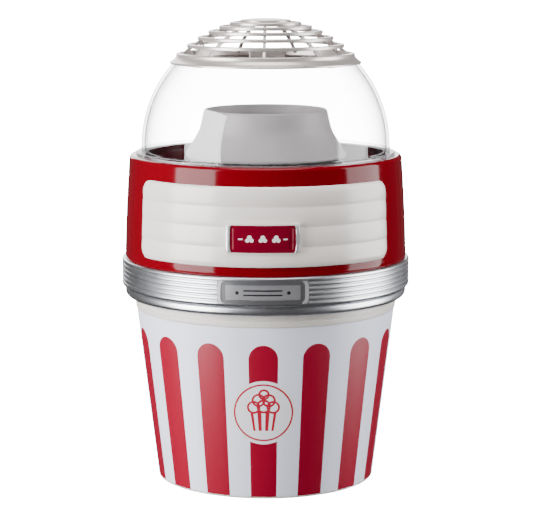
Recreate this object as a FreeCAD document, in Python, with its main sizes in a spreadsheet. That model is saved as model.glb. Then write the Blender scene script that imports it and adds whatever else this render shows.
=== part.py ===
import FreeCAD
import Part
import math
import os
import Sketcher

# Hot-air popcorn maker. Millimetres, +Z up, the front faces -Y.
# The origin is on the table under the middle of the bucket.

SIZES = [
    # Gaps
    ("fit", 0.3, "gap between pieces that are fixed together"),
    ("run_gap", 0.05, "radial gap of the running shaft"),
    # Bucket and sleeve
    ("foot_radius", 83.0, "bucket at the table"),
    ("rim_radius", 99.7, "band under the bucket's rim"),
    ("rim_low", 132.3, "lower edge of the rim band"),
    ("bucket_top", 150.0, "top edge of the bucket"),
    ("bucket_wall", 2.1, "wall of the bucket"),
    ("floor_rise", 3.0, "underside of the bucket's floor above the table"),
    ("sleeve_low", 1.6, "lower edge of the printed sleeve"),
    ("sleeve_thick", 0.5, "thickness of the printed sleeve"),
    # Silver ring
    ("ring_radius", 110.0, "crests of the ring's ribs"),
    ("ring_low", 141.5, "underside of the ring"),
    ("rib_low", 149.7, "foot of the lowest rib"),
    ("rib_pitch", 3.5, "from rib to rib"),
    ("rib_curve", 2.2, "rounding of a rib"),
    ("rib_depth", 0.87, "valley between ribs below the crests"),
    ("bead_radius", 107.5, "bead under the ribs"),
    ("ring_seat", 105.2, "inside of the ring around the shell's skirt"),
    ("ring_inner", 103.2, "inside of the bead"),
    ("ring_lip", 100.6, "lip of the ring around the bucket"),
    # Red shell
    ("shell_radius", 107.5, "shell just above the ring"),
    ("shell_crown", 103.7, "shell just below its top corner"),
    ("shell_low", 153.7, "lower edge of the shell's skirt"),
    ("shell_top", 249.1, "top face of the shell"),
    ("shell_corner", 3.0, "rounding of the shell's top corner"),
    ("shell_barrel", 1500.0, "long curve of the shell's side"),
    ("shell_wall", 2.5, "wall of the shell"),
    ("mouth_radius", 96.0, "opening in the shell's top"),
    ("pad_face", 107.2, "flat pad at the back of the shell"),
    ("pad_half", 34.0, "half the pad's width"),
    ("pad_low", 176.0, "lower edge of the pad"),
    ("pad_high", 209.0, "upper edge of the pad"),
    ("louvre_low", 215.0, "lowest rear louvre"),
    ("louvre_pitch", 6.0, "from louvre to louvre"),
    ("louvre_tall", 2.6, "height of a louvre"),
    ("louvre_half", 30.0, "half the width of a louvre"),
    # Screws between base plate and shell
    ("base_screw_ring", 98.8, "circle of the base screws"),
    ("boss_radius", 4.6, "screw bosses of shell and pod"),
    ("pilot_radius", 1.5, "screw holes in the bosses"),
    ("shank_radius", 1.45, "screw shanks"),
    ("hole_radius", 1.8, "clearance holes for the screws"),
    ("head_radius", 2.6, "screw heads"),
    ("head_tall", 2.0, "height of a screw head"),
    ("screw_reach", 12.0, "length of a screw's shank"),
    # Base plate
    ("plate_radius", 102.1, "edge of the base plate"),
    ("plate_thick", 4.0, "thickness of the base plate"),
    ("skirt_radius", 95.4, "locating skirt inside the bucket"),
    ("skirt_wall", 2.0, "wall of the locating skirt"),
    ("skirt_drop", 7.0, "depth of the skirt below the bucket's edge"),
    # Drop duct
    ("duct_top_radius", 92.0, "inside of the drop duct at its top"),
    ("duct_low_radius", 87.0, "inside of the drop duct at its foot"),
    ("duct_low", 148.0, "foot of the drop duct"),
    ("duct_wall", 2.0, "wall of the drop duct"),
    ("spider_low", 164.0, "underside of the arms"),
    ("spider_top", 206.0, "top of the arms, where the pod's ledge rests"),
    ("spider_wall", 2.6, "wall of the ring around the pod"),
    ("arm_thick", 6.0, "thickness of a front arm"),
    ("channel_half", 22.0, "half the width of the rear air channel"),
    ("channel_back", 84.0, "back of the channel inside the bucket"),
    ("channel_low", 102.0, "underside of the air channel"),
    ("channel_wall", 2.0, "wall of the air channel"),
    # Pod
    ("pod_radius", 58.0, "outside of the pod"),
    ("pod_low", 101.3, "lower edge of the pod housing"),
    ("pod_top", 249.0, "upper edge of the pod housing"),
    ("pod_bore", 55.8, "inside of the pod below the motor plate"),
    ("pod_waist", 53.6, "inside of the pod above the motor plate"),
    ("pod_neck", 52.0, "opening in the pod's top"),
    ("ledge_radius", 61.0, "ledge that rests on the spider"),
    ("ledge_thick", 3.0, "thickness of the ledge"),
    ("motor_shelf", 147.6, "shelf above the motor plate"),
    ("cover_low", 97.0, "underside of the pod cover"),
    ("cover_screw_ring", 52.4, "circle of the cover screws"),
    ("plate_screw_ring", 50.2, "circle of the motor plate's screws"),
    # Collar and chamber
    ("collar_top", 282.8, "rim of the popping collar"),
    ("collar_radius", 46.8, "outside of the collar at its rim"),
    ("collar_bore", 44.8, "inside of the collar"),
    ("flare_radius", 61.5, "edge of the collar's flare"),
    ("flare_low", 247.0, "lower edge of the flare"),
    ("chamber_radius", 43.0, "inside of the popping chamber"),
    ("chamber_wall", 0.8, "sheet of the chamber and heater can"),
    ("chamber_low", 196.0, "underside of the chamber"),
    ("chamber_flange", 54.0, "flanges of the chamber and heater can"),
    ("swirl_slots", 24, "slots around the chamber's foot"),
    # Heater
    ("can_radius", 51.0, "outside of the heater can"),
    ("can_low", 166.0, "lower edge of the heater can"),
    ("mica_radius", 36.9, "edge of the mica plates"),
    ("mica_thick", 1.0, "thickness of the mica plates"),
    ("mica_tall", 20.0, "height of the mica plates"),
    ("coil_radius", 38.0, "heater coil"),
    ("coil_wire", 0.8, "radius of the coil's wire"),
    ("coil_pitch", 3.8, "from turn to turn"),
    ("coil_turns", 4, "turns of the coil"),
    # Motor and fan
    ("motor_radius", 17.8, "outside of the motor can"),
    ("motor_wall", 1.5, "sheet of the motor can"),
    ("motor_low", 112.0, "lower edge of the motor can"),
    ("motor_plate_thick", 2.0, "thickness of the motor plate"),
    ("shaft_radius", 1.6, "motor shaft"),
    ("shaft_low", 110.4, "lower end of the shaft"),
    ("shaft_top", 163.0, "upper end of the shaft"),
    ("armature_radius", 12.0, "armature"),
    ("magnet_inner", 12.6, "inside of the magnets"),
    ("fan_radius", 42.0, "edge of the impeller"),
    ("fan_low", 149.5, "lower edge of the blades"),
    ("fan_tall", 12.0, "height of the blades"),
    ("fan_plate", 1.4, "disc of the impeller"),
    ("fan_blades", 18, "blades of the impeller"),
    # Dome and grille
    ("dome_radius", 94.5, "outside of the dome"),
    ("dome_centre", 255.0, "height of the dome's centre"),
    ("dome_wall", 2.2, "wall of the dome"),
    ("dome_hole", 66.0, "opening in the dome's top"),
    ("flange_radius", 98.5, "flange of the dome"),
    ("flange_low", 249.4, "underside of the dome's flange"),
    ("flange_thick", 2.0, "thickness of the dome's flange"),
    ("spigot_radius", 91.4, "spigot of the dome inside the duct"),
    ("grille_radius", 97.3, "sphere the grille's rings follow"),
    ("grille_foot", 317.6, "lower edge of the grille's skirt"),
    ("grille_bar", 3.2, "width of a grille ring"),
    ("grille_pitch", 8.1, "from ring to ring"),
    ("grille_ribs", 9, "ribs under the grille rings"),
    # Front panel and plates
    ("panel_low", 177.7, "lower edge of the front panel"),
    ("panel_high", 235.8, "upper edge of the front panel"),
    ("panel_half_angle", 56.8, "half the panel's angle around the shell"),
    ("panel_inner", 107.75, "back of the panel at its foot"),
    ("panel_lean", 2.1, "how far the panel leans in over its height"),
    ("panel_thick", 1.2, "panel at its flute valleys"),
    ("flute_curve", 24.0, "rounding of a flute"),
    ("panel_corner", 9.0, "rounding of the panel's corners"),
    ("badge_low", 187.8, "lower edge of the badge"),
    ("badge_high", 210.1, "upper edge of the badge"),
    ("badge_half", 27.5, "half the badge's width"),
    ("name_low", 151.2, "lower edge of the name plate"),
    ("name_high", 168.7, "upper edge of the name plate"),
    ("name_half", 33.4, "half the name plate's width"),
    # Switch and gland
    ("switch_x", -17.0, "middle of the switch across the pad"),
    ("gland_x", 17.0, "middle of the gland across the pad"),
    ("control_z", 192.5, "height of switch and gland"),
    ("bezel_half_wide", 7.5, "half the width of the switch's bezel"),
    ("bezel_half_tall", 10.5, "half the height of the switch's bezel"),
    ("bezel_thick", 1.6, "thickness of the bezel"),
    ("body_half_wide", 6.2, "half the width of the switch's body"),
    ("body_half_tall", 9.4, "half the height of the switch's body"),
    ("body_deep", 11.0, "depth of the switch's body"),
    ("rocker_half_wide", 4.6, "half the width of the rocker"),
    ("rocker_half_tall", 7.6, "half the height of the rocker"),
    ("rocker_tilt", 9.0, "tilt of the rocker when off, in degrees"),
    ("gland_bore", 3.4, "hole for the cord"),
    ("gland_body", 6.0, "threaded body of the gland"),
    ("gland_flange", 9.0, "flange of the gland"),
]

doc = FreeCAD.newDocument("popcorn_maker")
sheet = doc.addObject("Spreadsheet::Sheet", "Sizes")
pieces = []


class Size:
    """A number from the sheet, or one worked from several, with the expression that drives it."""

    def __init__(self, number, text):
        self.number = number
        self.text = text

    def __add__(self, other):
        return Size(self.number + number(other), f"({self.text} + {text(other)})")

    def __radd__(self, other):
        return as_size(other) + self

    def __sub__(self, other):
        return Size(self.number - number(other), f"({self.text} - {text(other)})")

    def __rsub__(self, other):
        return as_size(other) - self

    def __mul__(self, other):
        return Size(self.number * number(other), f"({self.text} * {text(other)})")

    def __rmul__(self, other):
        return as_size(other) * self

    def __truediv__(self, other):
        return Size(self.number / number(other), f"({self.text} / {text(other)})")

    def __neg__(self):
        return Size(-self.number, f"(0 - {self.text})")


def number(value):
    return value.number if isinstance(value, Size) else float(value)


def text(value):
    return value.text if isinstance(value, Size) else f"{float(value):.6f}"


def as_size(value):
    return Size(number(value), text(value))


def other_side(hypotenuse, side):
    """The second short side of a right triangle."""
    length = math.sqrt(number(hypotenuse) ** 2 - number(side) ** 2)
    return Size(length, f"sqrt({text(hypotenuse)} ^ 2 - {text(side)} ^ 2)")


class Sheet:
    """The sheet's sizes as attributes."""


S = Sheet()
for row, (name, value, note) in enumerate(SIZES, start=1):
    sheet.set(f"A{row}", name)
    sheet.set(f"B{row}", str(value))
    sheet.setAlias(f"B{row}", name)
    sheet.set(f"C{row}", note)
    setattr(S, name, Size(float(value), f"Sizes.{name}"))
doc.recompute()


def bind(thing, path, value):
    """Sets one property and ties it to its size."""
    if isinstance(value, Size):
        thing.setExpression(path, value.text)


def place(thing, x=0, y=0, z=0, turn=None):
    """Puts an object at x, y, z and turns it, with each coordinate tied to its size."""
    rotation = turn if turn else FreeCAD.Rotation()
    base = FreeCAD.Vector(number(x), number(y), number(z))
    thing.Placement = FreeCAD.Placement(base, rotation)
    bind(thing, "Placement.Base.x", x)
    bind(thing, "Placement.Base.y", y)
    bind(thing, "Placement.Base.z", z)
    return thing


def about_z(degrees):
    return FreeCAD.Rotation(FreeCAD.Vector(0, 0, 1), degrees)


def compass(radius, degrees):
    """The point at a radius, turned from the front towards +X."""
    angle = math.radians(degrees)
    return radius * math.sin(angle), radius * -math.cos(angle)


# Sketches and turned bodies


def middle_of_arc(start, end, radius):
    """The middle of the short arc between two points; a positive radius bulges right of the way."""
    across, up = end[0] - start[0], end[1] - start[1]
    chord = math.hypot(across, up)
    sag = abs(radius) - math.sqrt(radius ** 2 - chord ** 2 / 4)
    side = sag / chord * (1 if radius > 0 else -1)
    return ((start[0] + end[0]) / 2 + up * side, (start[1] + end[1]) / 2 - across * side)


def tie(sketch, kind, line, end, value):
    """Ties one end of a line to the sketch's origin along one axis."""
    index = sketch.addConstraint(Sketcher.Constraint(kind, -1, 1, line, end, number(value)))
    bind(sketch, f"Constraints[{index}]", value)


def draw(sketch, corners):
    """Draws a closed outline. A corner with a third entry starts an arc of that radius."""
    spots = [(number(c[0]), number(c[1])) for c in corners]
    count = len(corners)
    ends = []
    for i, corner in enumerate(corners):
        start, end = spots[i], spots[(i + 1) % count]
        points = [FreeCAD.Vector(start[0], start[1], 0), FreeCAD.Vector(end[0], end[1], 0)]
        if len(corner) == 3:
            middle = middle_of_arc(start, end, number(corner[2]))
            points.insert(1, FreeCAD.Vector(middle[0], middle[1], 0))
            line = sketch.addGeometry(Part.Arc(*points))
            first = sketch.getPoint(line, 1)
            same = math.hypot(first.x - start[0], first.y - start[1]) < 1e-4
            ends.append((1, 2) if same else (2, 1))
        else:
            sketch.addGeometry(Part.LineSegment(*points))
            ends.append((1, 2))
    for i in range(count):
        after = (i + 1) % count
        sketch.addConstraint(Sketcher.Constraint("Coincident", i, ends[i][1], after, ends[after][0]))
    for i, corner in enumerate(corners):
        tie(sketch, "DistanceX", i, ends[i][0], corner[0])
        tie(sketch, "DistanceY", i, ends[i][0], corner[1])
        if len(corner) == 3:
            curve = abs(number(corner[2]))
            index = sketch.addConstraint(Sketcher.Constraint("Radius", i, curve))
            bind(sketch, f"Constraints[{index}]", corner[2] if number(corner[2]) > 0 else -corner[2])


def plane_of(body, role):
    return [plane for plane in body.Origin.OriginFeatures if plane.Role == role][0]


def sketch_on(body, role, name, corners, lift=0):
    """A sketch on one of the body's own planes, lifted off it."""
    sketch = body.newObject("Sketcher::SketchObject", name)
    sketch.AttachmentSupport = (plane_of(body, role), [""])
    sketch.MapMode = "FlatFace"
    sketch.AttachmentOffset = FreeCAD.Placement(
        FreeCAD.Vector(0, 0, number(lift)), FreeCAD.Rotation()
    )
    bind(sketch, "AttachmentOffset.Base.z", lift)
    draw(sketch, corners)
    return sketch


def turned(name, corners, angle=360):
    """A body turned about the Z axis from an outline of (radius, height) corners."""
    body = doc.addObject("PartDesign::Body", name)
    sketch = sketch_on(body, "XZ_Plane", f"{name}_profile", corners)
    spin = body.newObject("PartDesign::Revolution", f"{name}_turn")
    spin.Profile = sketch
    spin.ReferenceAxis = (sketch, ["V_Axis"])
    spin.Angle = number(angle)
    if number(angle) < 360:
        spin.Midplane = True
        bind(spin, "Angle", angle)
    sketch.Visibility = False
    body.Tip = spin
    return body


def level(body, kind, name, corners, low, tall):
    """A pad or pocket with upright walls between two heights."""
    sketch = sketch_on(body, "XY_Plane", f"{name}_outline", corners, low + tall / 2)
    feature = body.newObject(f"PartDesign::{kind}", name)
    feature.Profile = sketch
    feature.Length = number(tall)
    bind(feature, "Length", tall)
    feature.Midplane = True
    sketch.Visibility = False
    body.Tip = feature
    return feature


def round_hole(body, name, radius, x, y, low, tall):
    """An upright round hole cut between two heights."""
    sketch = sketch_on(body, "XY_Plane", f"{name}_circle", [], low + tall / 2)
    centre = FreeCAD.Vector(number(x), number(y), 0)
    sketch.addGeometry(Part.Circle(centre, FreeCAD.Vector(0, 0, 1), number(radius)))
    index = sketch.addConstraint(Sketcher.Constraint("Radius", 0, number(radius)))
    bind(sketch, f"Constraints[{index}]", radius)
    tie(sketch, "DistanceX", 0, 3, x)
    tie(sketch, "DistanceY", 0, 3, y)
    feature = body.newObject("PartDesign::Pocket", name)
    feature.Profile = sketch
    feature.Length = number(tall)
    bind(feature, "Length", tall)
    feature.Midplane = True
    sketch.Visibility = False
    body.Tip = feature
    return feature


def around(body, feature, name, count):
    """Repeats a feature about the Z axis."""
    pattern = body.newObject("PartDesign::PolarPattern", name)
    pattern.Originals = [feature]
    pattern.Axis = (plane_of(body, "Z_Axis"), [""])
    pattern.Angle = 360
    pattern.Occurrences = int(number(count))
    bind(pattern, "Occurrences", count)
    body.Tip = pattern
    return pattern


# Part primitives and booleans


def box(name, x, y, z, turn=None):
    """A box between two values along each axis, before it is turned about the Z axis."""
    thing = doc.addObject("Part::Box", name)
    spans = (("Length", x), ("Width", y), ("Height", z))
    for side, (low, high) in spans:
        setattr(thing, side, number(high) - number(low))
        bind(thing, side, as_size(high) - low)
    if turn:
        angle = math.radians(turn)
        shift_x = x[0] * math.cos(angle) - y[0] * math.sin(angle)
        shift_y = x[0] * math.sin(angle) + y[0] * math.cos(angle)
        return place(thing, shift_x, shift_y, z[0], about_z(turn))
    return place(thing, x[0], y[0], z[0])


def rod(name, radius, low, high, x=0, y=0):
    """An upright cylinder between two heights."""
    thing = doc.addObject("Part::Cylinder", name)
    thing.Radius = number(radius)
    bind(thing, "Radius", radius)
    thing.Height = number(high) - number(low)
    bind(thing, "Height", as_size(high) - low)
    return place(thing, x, y, low)


def rod_back(name, radius, near, far, x, z):
    """A cylinder that lies along +Y."""
    thing = doc.addObject("Part::Cylinder", name)
    thing.Radius = number(radius)
    bind(thing, "Radius", radius)
    thing.Height = number(far) - number(near)
    bind(thing, "Height", as_size(far) - near)
    return place(thing, x, near, z, FreeCAD.Rotation(FreeCAD.Vector(1, 0, 0), -90))


def fuse(name, things):
    thing = doc.addObject("Part::MultiFuse", name)
    thing.Shapes = things
    return thing


def cut(name, base, tools):
    thing = doc.addObject("Part::Cut", name)
    thing.Base = base
    thing.Tool = tools[0] if len(tools) == 1 else fuse(f"{name}_tools", tools)
    return thing


def common(name, things):
    thing = doc.addObject("Part::MultiCommon", name)
    thing.Shapes = things
    return thing


def group(name, things):
    """Several separate solids of one kind that share a node."""
    thing = doc.addObject("Part::Compound", name)
    thing.Links = things
    return thing


def keep(thing, label):
    """Marks an object as one finished piece of the assembly."""
    thing.Label = label
    pieces.append(thing)
    return thing


def screw(name, ring, angle, head_low, reach=None):
    """A screw that points up, with its head's underside at a height."""
    x, y = compass(ring, angle)
    head_top = head_low + S.head_tall
    head = rod(f"{name}_head", S.head_radius, head_low, head_top, x, y)
    shank = rod(f"{name}_shank", S.shank_radius, head_low + 1, head_top + (reach or S.screw_reach), x, y)
    slot_x = (x - S.head_radius, x + S.head_radius)
    slot = box(f"{name}_slot", slot_x, (y - 0.4, y + 0.4), (head_low - 0.2, head_low + 0.8))
    return cut(name, fuse(f"{name}_solid", [head, shank]), [slot])


# Bucket


def sleeve_face(height):
    """Outer radius of the printed sleeve at a height."""
    slope = (S.rim_radius - 0.6 - S.foot_radius) / S.rim_low
    return S.foot_radius + slope * height


def build_bucket():
    seat_gap = S.sleeve_thick + S.fit
    floor_top = S.floor_rise + S.bucket_wall
    keep(turned("bucket_body", [
        (0, S.floor_rise),
        (S.foot_radius - 5, S.floor_rise),
        (S.foot_radius - 4, 0),
        (S.foot_radius, 0),
        (S.foot_radius + 0.2, S.sleeve_low - S.fit),
        (sleeve_face(S.sleeve_low) - seat_gap, S.sleeve_low - S.fit),
        (sleeve_face(S.rim_low) - seat_gap, S.rim_low),
        (S.rim_radius - 0.1, S.rim_low),
        (S.rim_radius + 0.3, S.rim_low + 3.8),
        (S.rim_radius - 0.3, S.rim_low + 4.1),
        (S.rim_radius - 0.3, S.rim_low + 4.5),
        (S.rim_radius, S.rim_low + 4.8),
        (S.rim_radius, S.bucket_top - 0.6),
        (S.rim_radius - 0.6, S.bucket_top),
        (S.rim_radius - S.bucket_wall, S.bucket_top),
        (sleeve_face(S.rim_low) - seat_gap - S.bucket_wall, S.rim_low),
        (sleeve_face(floor_top) - seat_gap - S.bucket_wall, floor_top),
        (0, floor_top),
    ]), "bucket")
    keep(turned("sleeve_body", [
        (sleeve_face(S.sleeve_low) - S.sleeve_thick, S.sleeve_low),
        (sleeve_face(S.sleeve_low), S.sleeve_low),
        (sleeve_face(S.rim_low - S.fit), S.rim_low - S.fit),
        (sleeve_face(S.rim_low - S.fit) - S.sleeve_thick, S.rim_low - S.fit),
    ]), "stripe_sleeve")


# Silver ring


def build_ring():
    valley = S.ring_radius - S.rib_depth
    corners = [
        (S.ring_lip, S.ring_low),
        (S.bead_radius - 3.5, S.ring_low, as_size(3.6)),
        (S.bead_radius, S.ring_low + 3.5),
        (S.bead_radius, S.rib_low - 2.6),
        (S.bead_radius - 1.6, S.rib_low - 1.2),
        (S.bead_radius - 1.6, S.rib_low - 0.4),
        (valley - 0.4, S.rib_low - 0.4),
    ]
    for rib in range(6):
        corners.append((valley, S.rib_low + S.rib_pitch * rib, S.rib_curve))
    corners += [
        (valley, S.rib_low + S.rib_pitch * 6),
        (S.ring_seat, S.rib_low + S.rib_pitch * 6),
        (S.ring_seat, S.shell_low - S.fit),
        (S.ring_inner, S.shell_low - S.fit),
        (S.ring_inner, S.ring_low + 3),
        (S.ring_lip, S.ring_low + 2),
    ]
    keep(turned("ring_body", corners), "trim_ring")


# Red shell


def build_shell():
    ring_top = S.rib_low + S.rib_pitch * 6
    skirt = S.ring_seat - S.fit
    corner_low = S.shell_top - S.shell_corner
    outside = turned("shell_outside", [
        (0, S.shell_low),
        (skirt, S.shell_low),
        (skirt, ring_top + S.fit),
        (S.shell_radius, ring_top + S.fit, S.shell_barrel),
        (S.shell_crown, corner_low, S.shell_corner + 0.1),
        (S.shell_crown - S.shell_corner, S.shell_top),
        (0, S.shell_top),
    ])
    inside = turned("shell_inside", [
        (0, S.shell_low - 1),
        (skirt - S.shell_wall, S.shell_low - 1),
        (skirt - S.shell_wall, ring_top + S.fit + S.shell_wall),
        (S.shell_radius - S.shell_wall, ring_top + S.fit + S.shell_wall),
        (S.shell_crown - S.shell_wall, corner_low),
        (S.shell_crown - S.shell_wall, S.shell_top - S.shell_wall),
        (S.mouth_radius, S.shell_top - S.shell_wall),
        (S.mouth_radius, S.shell_top + 1),
        (0, S.shell_top + 1),
    ])
    pad = box("shell_pad", (-S.pad_half, S.pad_half), (S.pad_face - 20, S.pad_face), (S.pad_low, S.pad_high))
    pad_room = box(
        "shell_pad_room",
        (-S.pad_half + S.shell_wall, S.pad_half - S.shell_wall),
        (S.pad_face - 30, S.pad_face - S.shell_wall),
        (S.pad_low + S.shell_wall, S.pad_high - S.shell_wall),
    )
    walls = cut("shell_walls", fuse("shell_block", [outside, pad]), [inside, pad_room])
    bosses = []
    pilots = []
    boss_low = S.bucket_top + S.fit + S.plate_thick + S.fit
    for i, angle in enumerate((60, 180, 300)):
        x, y = compass(S.base_screw_ring, angle)
        bosses.append(rod(f"shell_boss_{i}", S.boss_radius, boss_low, boss_low + 17, x, y))
        pilots.append(rod(f"shell_pilot_{i}", S.pilot_radius, boss_low - 1, boss_low + 14, x, y))
    louvres = []
    for i in range(5):
        low = S.louvre_low + S.louvre_pitch * i
        across = (-S.louvre_half, S.louvre_half)
        louvres.append(box(f"louvre_{i}", across, (S.dome_radius - 4, S.ring_radius), (low, low + S.louvre_tall)))
    switch_hole = box(
        "switch_hole",
        (S.switch_x - S.body_half_wide - S.fit, S.switch_x + S.body_half_wide + S.fit),
        (S.pad_face - 10, S.pad_face + 1),
        (S.control_z - S.body_half_tall - S.fit, S.control_z + S.body_half_tall + S.fit),
    )
    gland_hole = rod_back("gland_hole", S.gland_body + S.fit, S.pad_face - 10, S.pad_face + 1, S.gland_x, S.control_z)
    solid = fuse("shell_solid", [walls] + bosses)
    keep(cut("shell_cut", solid, pilots + louvres + [switch_hole, gland_hole]), "body_shell")


def build_base():
    low = S.bucket_top + S.fit
    duct_edge = S.duct_low_radius + S.duct_wall + 2 * S.fit
    body = turned("base_body", [
        (duct_edge, low),
        (S.skirt_radius - S.skirt_wall, low),
        (S.skirt_radius - S.skirt_wall, S.bucket_top - S.skirt_drop),
        (S.skirt_radius, S.bucket_top - S.skirt_drop),
        (S.skirt_radius, low),
        (S.plate_radius, low),
        (S.plate_radius, low + S.plate_thick),
        (duct_edge, low + S.plate_thick),
    ])
    x, y = compass(S.base_screw_ring, 60)
    hole = round_hole(body, "base_hole", S.hole_radius, x, y, low - 1, S.plate_thick + 2)
    around(body, hole, "base_holes", 3)
    sink = round_hole(body, "base_sink", S.head_radius + S.fit, x, y, low - 1, S.head_tall + S.fit + 1)
    around(body, sink, "base_sinks", 3)
    keep(body, "base_plate")
    screws = [
        screw(f"base_screw_{i}", S.base_screw_ring, angle, low + 0.1) for i, angle in enumerate((60, 180, 300))
    ]
    keep(group("base_screw_group", screws), "base_screws")


# Drop duct with the spider that carries the pod


def build_duct():
    tube = turned("duct_tube", [
        (S.duct_low_radius, S.duct_low),
        (S.duct_low_radius + S.duct_wall, S.duct_low),
        (S.duct_top_radius + S.duct_wall, S.shell_top - S.shell_wall - S.fit),
        (S.mouth_radius - S.fit, S.shell_top - S.shell_wall - S.fit),
        (S.mouth_radius - S.fit, S.shell_top),
        (S.duct_top_radius, S.shell_top),
    ])
    socket = S.pod_radius + S.fit
    ring_out = socket + S.spider_wall
    ring = rod("spider_ring", ring_out, S.spider_low, S.spider_top)
    near = S.pod_radius - 4
    far = S.duct_low_radius + 1
    arms = []
    for i, angle in enumerate((60, 300)):
        across = (-S.arm_thick / 2, S.arm_thick / 2)
        arms.append(box(f"arm_{i}", across, (near, far), (S.spider_low, S.spider_top), angle + 180))
    half, wall = S.channel_half, S.channel_wall
    low_box = box("channel_low_box", (-half, half), (near, S.channel_back), (S.channel_low, S.spider_top))
    high_low = S.bucket_top + S.plate_thick + 3 * S.fit
    high_box = box("channel_high_box", (-half, half), (near, far + 1), (high_low, S.spider_top))
    low_room = box(
        "channel_low_room",
        (-half + wall, half - wall),
        (near - 1, S.channel_back - wall),
        (S.channel_low + wall, S.spider_top - wall),
    )
    high_room = box(
        "channel_high_room",
        (-half + wall, half - wall),
        (near - 1, S.duct_top_radius + 6),
        (high_low + wall, S.spider_top - wall),
    )
    pod_room = rod("pod_room", socket, S.channel_low - 5, S.spider_top + 5)
    solid = fuse("duct_solid", [tube, ring, low_box, high_box] + arms)
    keep(cut("duct_cut", solid, [pod_room, low_room, high_room]), "drop_duct")


# Pod


def build_pod():
    ledge = S.spider_top + S.fit
    walls = turned("pod_walls", [
        (S.pod_bore, S.pod_low),
        (S.pod_radius, S.pod_low),
        (S.pod_radius, ledge),
        (S.ledge_radius, ledge),
        (S.ledge_radius, ledge + S.ledge_thick),
        (S.pod_radius, ledge + S.ledge_thick + 2),
        (S.pod_radius, S.pod_top - 2),
        (S.pod_radius - 2, S.pod_top),
        (S.pod_neck, S.pod_top),
        (S.pod_neck, S.pod_top - 2),
        (S.pod_waist, S.pod_top - 2),
        (S.pod_waist, S.motor_shelf),
        (S.pod_bore, S.motor_shelf),
    ])
    bosses = []
    pilots = []
    for i, angle in enumerate((0, 120, 240)):
        x, y = compass(S.cover_screw_ring, angle)
        bosses.append(rod(f"cover_boss_{i}", S.boss_radius, S.pod_low, S.pod_low + 16, x, y))
        pilots.append(rod(f"cover_pilot_{i}", S.pilot_radius, S.pod_low - 1, S.pod_low + 13, x, y))
        x, y = compass(S.plate_screw_ring, angle + 60)
        bosses.append(rod(f"shelf_boss_{i}", S.boss_radius, S.motor_shelf, S.motor_shelf + 13, x, y))
        pilots.append(rod(f"shelf_pilot_{i}", S.pilot_radius, S.motor_shelf - 1, S.motor_shelf + 11, x, y))
    half = S.channel_half - S.channel_wall - 1
    window = box("pod_window", (-half, half), (20, S.pod_radius + 5), (S.channel_low + 4, S.motor_shelf - 9))
    keep(cut("pod_cut", fuse("pod_solid", [walls] + bosses), pilots + [window]), "pod_housing")

    cover_top = S.pod_low - S.fit
    body = turned("cover_body", [
        (0, S.cover_low),
        (S.pod_radius - 3, S.cover_low),
        (S.pod_radius, S.cover_low + 2),
        (S.pod_radius, cover_top),
        (0, cover_top),
    ])
    x, y = compass(S.cover_screw_ring, 0)
    thick = cover_top - S.cover_low
    hole = round_hole(body, "cover_hole", S.hole_radius, x, y, S.cover_low - 1, thick + 2)
    around(body, hole, "cover_holes", 3)
    sink = round_hole(body, "cover_sink", S.head_radius + S.fit, x, y, S.cover_low - 1, S.head_tall + S.fit + 1)
    around(body, sink, "cover_sinks", 3)
    keep(body, "pod_cover")
    screws = [
        screw(f"cover_screw_{i}", S.cover_screw_ring, angle, S.cover_low + 0.1)
        for i, angle in enumerate((0, 120, 240))
    ]
    keep(group("cover_screw_group", screws), "pod_cover_screws")


# Popping collar, chamber and heater can


def build_chamber():
    can_flange = S.pod_top + S.fit
    cup_flange = can_flange + S.chamber_wall + S.fit
    collar_foot = cup_flange + S.chamber_wall + S.fit
    wall = as_size(2.2)
    keep(turned("collar_body", [
        (S.collar_bore, collar_foot),
        (S.collar_bore + wall, collar_foot),
        (S.collar_bore + wall, S.flare_low + 19),
        (S.collar_bore + wall + 1.6, S.flare_low + 18.6),
        (S.flare_radius - wall, S.flare_low + 2.4),
        (S.flare_radius - wall, S.flare_low),
        (S.flare_radius, S.flare_low),
        (S.flare_radius, S.flare_low + 2),
        (S.collar_radius + 4.9, S.flare_low + 18, as_size(-14)),
        (S.collar_radius + 2.3, S.flare_low + 24),
        (S.collar_radius, S.collar_top - 1, as_size(1.05)),
        (S.collar_radius - 1, S.collar_top),
        (S.collar_bore + 0.4, S.collar_top),
        (S.collar_bore, S.collar_top - 0.6),
    ]), "popping_collar")

    sheet_wall = S.chamber_wall
    outer = S.chamber_radius + sheet_wall
    cup = turned("cup_body", [
        (0, S.chamber_low + 9),
        (10, S.chamber_low + 7.5),
        (24, S.chamber_low),
        (outer - 3, S.chamber_low),
        (outer, S.chamber_low + 3),
        (outer, cup_flange),
        (S.chamber_flange, cup_flange),
        (S.chamber_flange, cup_flange + sheet_wall),
        (S.chamber_radius, cup_flange + sheet_wall),
        (S.chamber_radius, S.chamber_low + 3.4),
        (S.chamber_radius - 2.6, S.chamber_low + sheet_wall),
        (24.4, S.chamber_low + sheet_wall),
        (10.3, S.chamber_low + 8.3),
        (0, S.chamber_low + 9.8),
    ])
    slots = []
    count = int(S.swirl_slots.number)
    for i in range(count):
        slot = box(f"swirl_{i}", (as_size(-0.9), as_size(0.9)), (S.chamber_radius - 3, outer + 3),
                   (S.chamber_low + 5, S.chamber_low + 13), 360 * i / count + 0.01)
        slots.append(slot)
    keep(cut("cup_cut", cup, slots), "popping_chamber")

    can_inner = S.can_radius - sheet_wall
    keep(turned("can_body", [
        (can_inner - 5, S.can_low),
        (S.can_radius, S.can_low),
        (S.can_radius, can_flange),
        (S.chamber_flange, can_flange),
        (S.chamber_flange, can_flange + sheet_wall),
        (can_inner, can_flange + sheet_wall),
        (can_inner, S.can_low + sheet_wall),
        (can_inner - 5, S.can_low + sheet_wall),
    ]), "heater_can")


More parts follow.
